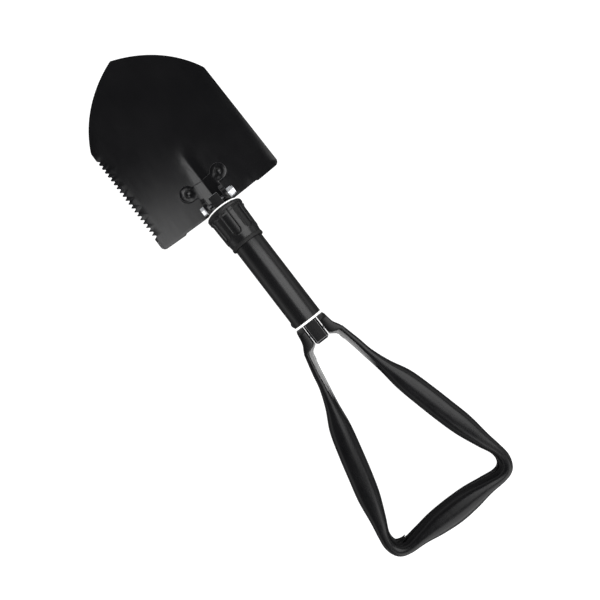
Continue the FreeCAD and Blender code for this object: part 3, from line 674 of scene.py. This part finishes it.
# Folds of the sheet inside the left corner, round a centre behind the handle pin: inner
# radius, height above the axis, plan radius, and the angles where the fold starts and ends.
FOLD_CENTRE = (-58.3, -204.6)
FOLDS = [(10.5, -3.0, 1.2, 132, 292), (11.5, 1.0, 1.0, 146, 284), (12.4, 5.0, 1.0, 156, 274)]
FOLD_RING = 12
FOLD_STEPS = 40
# A fold's middle line beyond its inner radius, and its half height, in plan radii.
FOLD_OUT = 1.1
FOLD_TALL = 2.2
# Square of the plan radius left at a fold's two ends, as a share of the full one.
FOLD_TIP = 0.004


def make_corner_folds(material):
    """Gathered folds of the sheet on the inner side of the left corner."""
    made = []
    for number, (inner, height, radius, start, end) in enumerate(FOLDS):
        points = []
        for step in range(FOLD_STEPS + 1):
            along = 2 * step / FOLD_STEPS - 1
            turn = math.radians((start + end) / 2 + (end - start) / 2 * along)
            outward = Vector((math.cos(turn), math.sin(turn), 0))
            thick = radius * math.sqrt(max(FOLD_TIP, 1 - along * along))
            centre = Vector((*FOLD_CENTRE, height)) + outward * (inner + radius * FOLD_OUT)
            for corner in range(FOLD_RING):
                angle = 2 * math.pi * corner / FOLD_RING
                point = centre + outward * thick * math.cos(angle)
                point += Vector((0, 0, FOLD_TALL * thick * math.sin(angle)))
                points.append(handle_place(point))
        faces = tube_faces(FOLD_STEPS + 1, FOLD_RING)
        made.append(new_piece(f"handle_corner_fold_{number + 1}", points, faces, material,
                              "handle", 50))
    return made


def make_handle(material):
    """Every piece that stands in for the CAD handle."""
    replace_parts(make_handle_channel(material), "handle_frame")
    for name, side in (("left", -1), ("right", 1)):
        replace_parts(make_handle_ear(f"handle_ear_{name}", side, material), "handle_frame")
        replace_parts(make_handle_web(f"handle_web_{name}", side, material), "handle_frame")
    for fold in make_corner_folds(material):
        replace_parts(fold, "handle_frame")


# ------------------------------------------------------------------ collar

# Distances along the collar are measured back from its front face, in millimetres.
FLUTES = 8
FLUTE_PHASE = -4.5
FLUTE_HALF_WIDTH = 4.5
FLUTE_DEPTH = 1.4
FLUTE_RADIUS = 18.8
FLUTE_START = 5.2
FLUTE_END = 31.3
FLUTE_WALL = 0.7
RIM_HEIGHT = 0.42
RIM_WIDTH = 0.34
RIM_OUT = 0.3
# Length over which flutes and knurls fade in.
FADE = 0.5
COLLAR_RING = 448
COLLAR_STEP = 0.3
KNURLS = 84
KNURL_DEPTH = 0.22
KNURL_START = 1.2
KNURL_END = 4.2
# Distance and outside radius, without flutes and knurls.
COLLAR_PROFILE = [
    (0.0, 18.5), (0.4, 19.2), (1.0, 19.8), (1.6, 20.2), (2.0, 20.28), (4.0, 20.28),
    (4.3, 20.0), (4.5, 19.3), (5.0, 19.2), (5.3, 19.95), (7.0, 20.0), (8.6, 19.0),
    (20.0, 18.75), (28.8, 18.45), (32.3, 18.1), (34.8, 17.7), (37.0, 17.45), (37.55, 17.2)]
COLLAR_BORE = 16.6
COLLAR_MOUTH = 16.45
COLLAR_LIP = 15.95
LIP_LENGTH = 5.5
LIP_STEP = 0.5
MOUTH_LENGTH = 3.0
MOUTH_STEP = 0.2
REAR_INSET = 0.02
# The rows of the rounded front edge, in front of the evenly spaced ones.
FRONT_ROWS = [0.0, 0.25, 0.5]


def collar_radius(distance):
    """Radius of the collar's outside at a distance, without flutes."""
    for (first, low), (second, high) in zip(COLLAR_PROFILE, COLLAR_PROFILE[1:]):
        if distance <= second:
            share = (distance - first) / (second - first)
            return low + (high - low) * share
    return COLLAR_PROFILE[-1][1]


def flute_sink(angle, distance):
    """How far the surface sinks into a flute or stands up on its rim."""
    period = 2 * math.pi / FLUTES
    offset = (angle - math.radians(FLUTE_PHASE) + period / 2) % period - period / 2
    across = abs(offset) * FLUTE_RADIUS
    past = max(0.0, distance - FLUTE_END + FLUTE_HALF_WIDTH)
    outline = FLUTE_HALF_WIDTH - math.hypot(across, past)
    if distance < FLUTE_START:
        return 0.0
    fade = min(1.0, (distance - FLUTE_START) / FADE)
    inside = min(1.0, max(0.0, outline / FLUTE_WALL))
    sink = FLUTE_DEPTH * inside * inside * (3 - 2 * inside)
    rim = RIM_HEIGHT * math.exp(-((outline + RIM_OUT) / RIM_WIDTH) ** 2)
    return (sink - rim) * fade


def knurl(angle, distance):
    """Fine ribs on the front band."""
    band = min(1.0, max(0.0, min(distance - KNURL_START, KNURL_END - distance) / FADE))
    return KNURL_DEPTH * band * (0.5 + 0.5 * math.cos(KNURLS * angle))


def make_collar(material):
    """Screw collar: ribbed front band, eight flutes with raised rims and a plain rear."""
    low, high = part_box("locking_collar")
    front = high.y
    length = (high.y - low.y) / MM
    rear = length - REAR_INSET
    angles = [2 * math.pi * step / COLLAR_RING for step in range(COLLAR_RING)]
    distances = list(FRONT_ROWS)
    while distances[-1] < length - COLLAR_STEP:
        distances.append(distances[-1] + COLLAR_STEP)
    distances.append(rear)
    rows = []
    for distance in distances:
        outside = collar_radius(distance)
        rows.append([(outside - flute_sink(angle, distance) - knurl(angle, distance),
                      angle, distance) for angle in angles])
    lip = length - LIP_LENGTH
    for radius, distance in ((COLLAR_LIP, rear), (COLLAR_LIP, lip),
                             (COLLAR_BORE, lip - LIP_STEP),
                             (COLLAR_BORE, MOUTH_LENGTH + MOUTH_STEP),
                             (COLLAR_MOUTH, MOUTH_LENGTH), (COLLAR_MOUTH, 0.0)):
        rows.append([(radius, angle, distance) for angle in angles])
    points = [Vector((radius * math.sin(angle) * MM, front - distance * MM,
                      AXIS_Z + radius * math.cos(angle) * MM))
              for row in rows for radius, angle, distance in row]
    faces = grid_faces(len(rows), COLLAR_RING, close_rows=True)
    piece = new_piece("collar_shell", points, faces, material, "collar", 55)
    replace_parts(piece, "locking_collar")


# ------------------------------------------------------------------ assembly

def give(material, *names):
    """Set the material of CAD nodes that are shown as they are."""
    for name in names:
        mesh = NODES[name].data
        mesh.materials.clear()
        mesh.materials.append(material)


def main():
    """Set the studio up, then coat and complete the CAD pieces."""
    make_camera()
    make_world()
    for softbox in SOFTBOXES:
        make_softbox(*softbox)
    make_floor()
    bpy.context.scene.view_settings.view_transform = "Standard"
    give_materials()
    soften_edges()


def give_materials():
    """Make every material, put it on the CAD nodes, and build the pieces that need one."""
    blade_paint = make_blade_paint()
    satin = make_coat("satin_black_steel", (0.13, 0.2), 0.004 * MM, 0.006)
    dull = make_coat("dull_black_steel", (0.16, 0.26), 0.004 * MM, 0.006, 0.26)
    tube_gloss = make_coat("gloss_black_tube", (0.24, 0.30), 0.002 * MM, 0.007)
    handle_coat = make_handle_coat_with_painted_reflection()
    black_nylon = make_nylon("black_nylon", (0.005, 0.005, 0.0055), (0.009, 0.009, 0.0095),
                             (0.22, 0.32), 0.006 * MM)
    # The white nylon rings get a painted glow of 0.42.
    white_nylon = make_nylon("white_nylon", (0.90, 0.90, 0.89), (0.96, 0.96, 0.95),
                             (0.38, 0.5), 0.012 * MM, 0.15, 0.42)
    pale_nylon = make_nylon("pale_nylon", (0.42, 0.62, 0.74), (0.52, 0.72, 0.82),
                            (0.3, 0.45), 0.01 * MM)
    zinc = make_zinc("zinc_plate", SHANK_SHADE_REACH)
    pin_zinc = make_zinc("zinc_pin")
    steel = make_plain_steel("plain_steel")
    rubber = make_rubber("black_rubber")
    give(satin, "blade_bracket", "bracket_rivets")
    give(dull, "blade_tongue", "handle_lug")
    give(tube_gloss, "shaft_tube", "bushing_rivet")
    give(steel, "tension_strap", "tongue_rivets", "lug_rivets", "threaded_sleeve")
    give(black_nylon, "tube_guide")
    give(white_nylon, "thrust_ring", "end_bushing")
    give(rubber, "collar_seal")
    give(blade_paint, "blade")
    give(zinc, "hinge_bolt", "hinge_nut", "hinge_washers")
    give(pin_zinc, "handle_pin")
    give(pale_nylon, "nut_insert")
    make_handle(handle_coat)
    make_collar(black_nylon)


def soften_edges():
    """Round the edges of the CAD nodes, three of them with painted highlights on the edges."""
    # Painted highlights: grey on the rounded edges, standing in for the light that the edges
    # catch.
    tongue_lug_highlight = make_painted_edge_highlight("painted_edge_highlight", 0.14, 0.24)
    bracket_highlight = make_painted_edge_highlight("bracket_painted_highlight", 0.03, 0.08)
    for name, width, edge in (
            ("blade", 0.5, None), ("hinge_bolt", 0.35, None), ("hinge_nut", 0.35, None),
            ("hinge_washers", 0.15, None), ("thrust_ring", 0.3, None),
            ("end_bushing", 0.25, None), ("shaft_tube", 0.3, None),
            ("collar_seal", 0.2, None), ("blade_bracket", 0.5, bracket_highlight),
            ("blade_tongue", 0.5, tongue_lug_highlight), ("handle_lug", 0.35, tongue_lug_highlight)):
        soften(NODES[name], width, 3, edge)


main()
